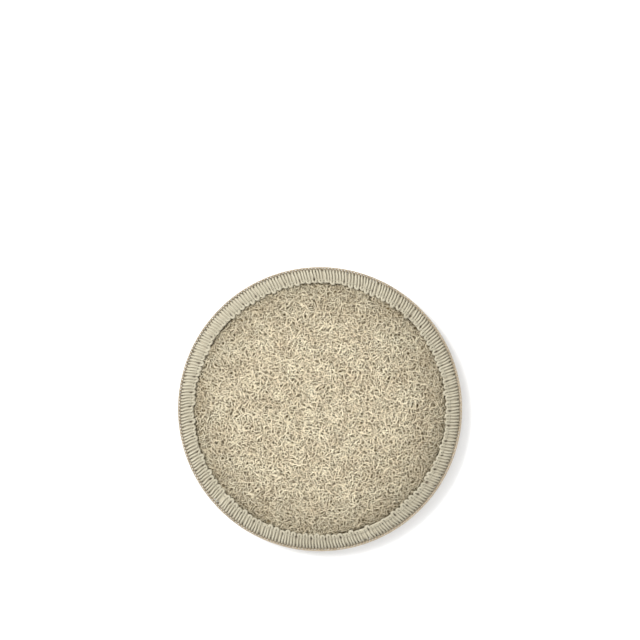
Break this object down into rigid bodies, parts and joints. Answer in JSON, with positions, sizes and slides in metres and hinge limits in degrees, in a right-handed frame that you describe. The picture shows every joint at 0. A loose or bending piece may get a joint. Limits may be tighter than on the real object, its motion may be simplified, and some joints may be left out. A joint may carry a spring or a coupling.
{
  "type": "natural loofah sponge",
  "caption": "Round bath sponge of natural loofah on a terry cloth back, padded with cotton, its edge taped and overlocked with cotton yarn.",
  "frame": {"origin": "the middle of the flat spot of the cloth back that the sponge rests on", "axes": "+Z is the sponge's axis, from the cloth back up to the loofah face; X and Y are alike, because the sponge is round"},
  "size_m": [0.14, 0.14, 0.02],
  "materials": {
    "loofah": "matte",
    "wadding": "matte",
    "terry": "matte",
    "tape": "matte",
    "yarn": "matte"
  },
  "bodies": {
    "root": {"loofah_mat": "loofah", "cotton_wadding": "wadding", "terry_back": "terry", "edge_tape": "tape", "overlock_stitches": "yarn", "edge_chain": "yarn"}
  },
  "joints": []
}
